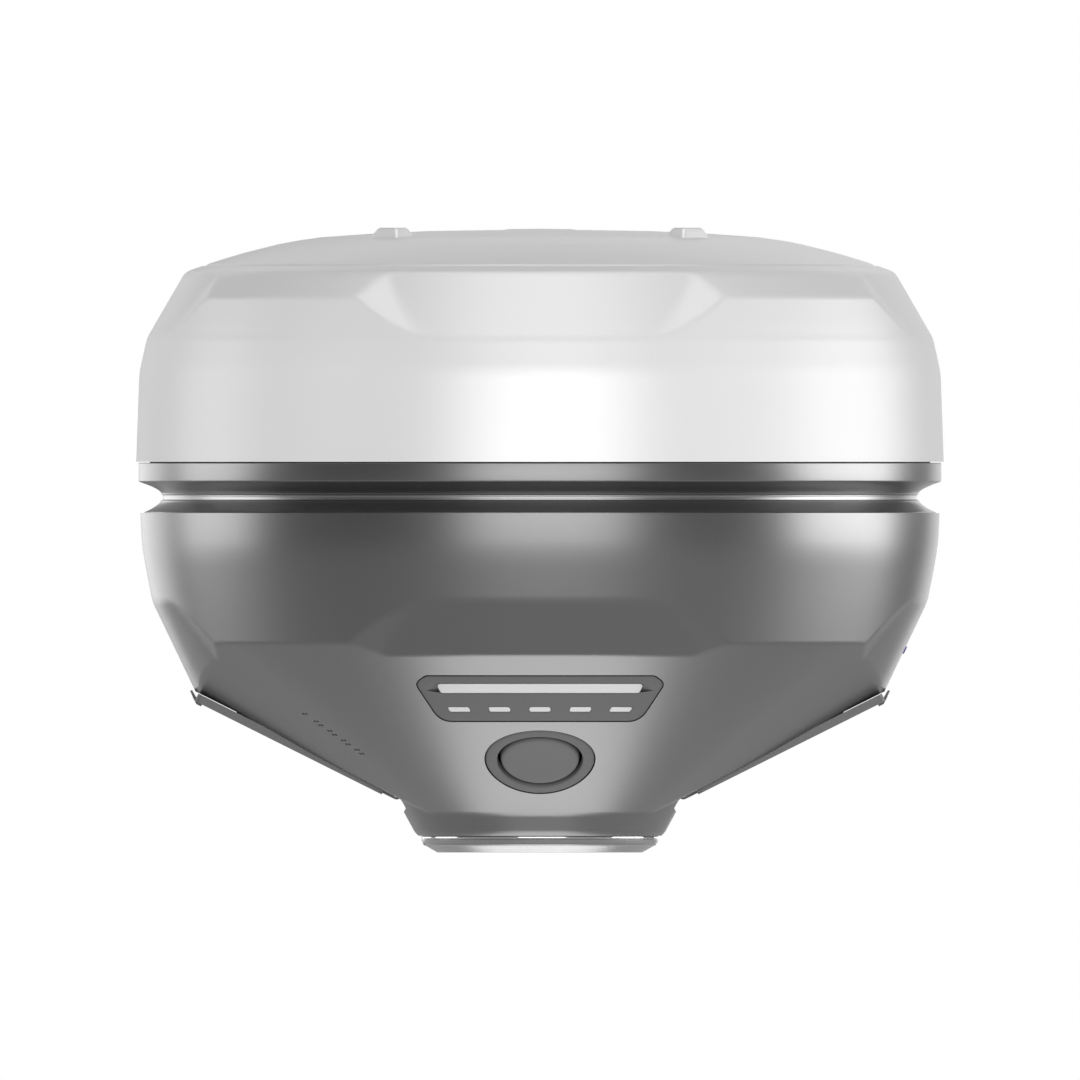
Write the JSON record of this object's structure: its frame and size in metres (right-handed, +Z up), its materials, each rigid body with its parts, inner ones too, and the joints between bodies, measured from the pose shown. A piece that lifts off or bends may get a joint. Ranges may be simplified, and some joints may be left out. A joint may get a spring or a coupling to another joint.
{
  "type": "gnss receiver",
  "caption": "Round survey receiver: white chamfered radome over a dark tapered housing with a pole socket, status lights, power button and hinged port covers.",
  "frame": {"origin": "centre of the flat underside of the pole mount, on the receiver's vertical axis", "axes": "+Z up along the pole axis; the status panel and button face -Y; port covers at -X and +X"},
  "size_m": [0.146, 0.146, 0.1129],
  "materials": {
    "radome_white": "fine satin moulded polycarbonate",
    "cap_white": "satin moulded polycarbonate",
    "housing_grey": "satin dark grey paint on cast magnesium",
    "dark_trim": "matt dark grey",
    "seal_rubber": "matt silicone",
    "cover_rubber": "matt grey elastomer over a stiff core",
    "turned_aluminium": "fine turned",
    "polished_steel": "polished",
    "steel": "plated",
    "lens": "diffusing lens",
    "board_green": "solder mask",
    "chip_black": "moulded package",
    "gold": "plated",
    "cell_wrap": "shrink sleeve",
    "frame_black": "glass filled nylon",
    "ceramic": "fired ceramic",
    "marker": "printed dot"
  },
  "bodies": {
    "receiver": {"mount_plate": "turned_aluminium", "mount_screws": "steel", "polished_ring": "polished_steel", "thread_insert": "turned_aluminium", "lower_housing": "housing_grey", "main_gasket": "seal_rubber", "lower_collar": "housing_grey", "waist_ring": "housing_grey", "upper_chassis": "housing_grey", "chassis_screws": "steel", "radome_gasket": "seal_rubber", "radome": "radome_white", "top_cap": "cap_white", "centre_plug": "cap_white", "radome_feet": "radome_white", "led_panel": "dark_trim", "light_bar": "lens", "status_leds": "lens", "front_board": "board_green", "led_emitters": "ceramic", "button_bezel": "dark_trim", "tactile_switch": "chip_black", "vent_membrane": "ceramic", "port_marker": "marker", "left_hinge_pin": "steel", "right_hinge_pin": "steel", "usb_socket": "steel", "sim_tray": "frame_black", "left_port_board": "board_green", "serial_socket": "gold", "radio_connector": "gold", "right_port_board": "board_green", "battery_cells": "cell_wrap", "battery_cradle": "frame_black", "battery_strap": "frame_black", "battery_plates": "steel", "main_board": "board_green", "pcb_standoffs": "steel", "pcb_screws": "steel", "gnss_shield": "steel", "modem_shield": "steel", "board_chips": "chip_black", "buzzer": "chip_black", "ground_plate": "turned_aluminium", "plate_spacers": "steel", "plate_screws": "steel", "antenna_support": "frame_black", "antenna_board": "board_green", "antenna_arms": "gold", "upper_patch": "ceramic", "patch_posts": "frame_black", "feed_pins": "gold", "lna_shield": "steel", "side_antennas": "board_green"},
    "power_button": {"button_cap": "dark_trim", "button_stem": "frame_black"},
    "left_port_cover": {"left_cover": "cover_rubber", "left_cover_seal": "seal_rubber"},
    "right_port_cover": {"right_cover": "cover_rubber", "right_cover_seal": "seal_rubber"}
  },
  "joints": [
    {"name": "power_button_press", "type": "slide", "parent": "receiver", "child": "power_button", "axis": [0, 0.5731, 0.8195], "range_m": [0, 0.0008], "stiffness_N_per_m": 800, "springref_m": -0.0004},
    {"name": "left_cover_hinge", "type": "hinge", "parent": "receiver", "child": "left_port_cover", "pos_m": [-0.02589, 0, 0.01057], "axis": [0, -1, 0], "range_deg": [0, 95]},
    {"name": "right_cover_hinge", "type": "hinge", "parent": "receiver", "child": "right_port_cover", "pos_m": [0.02589, 0, 0.01057], "axis": [0, 1, 0], "range_deg": [0, 95]}
  ]
}
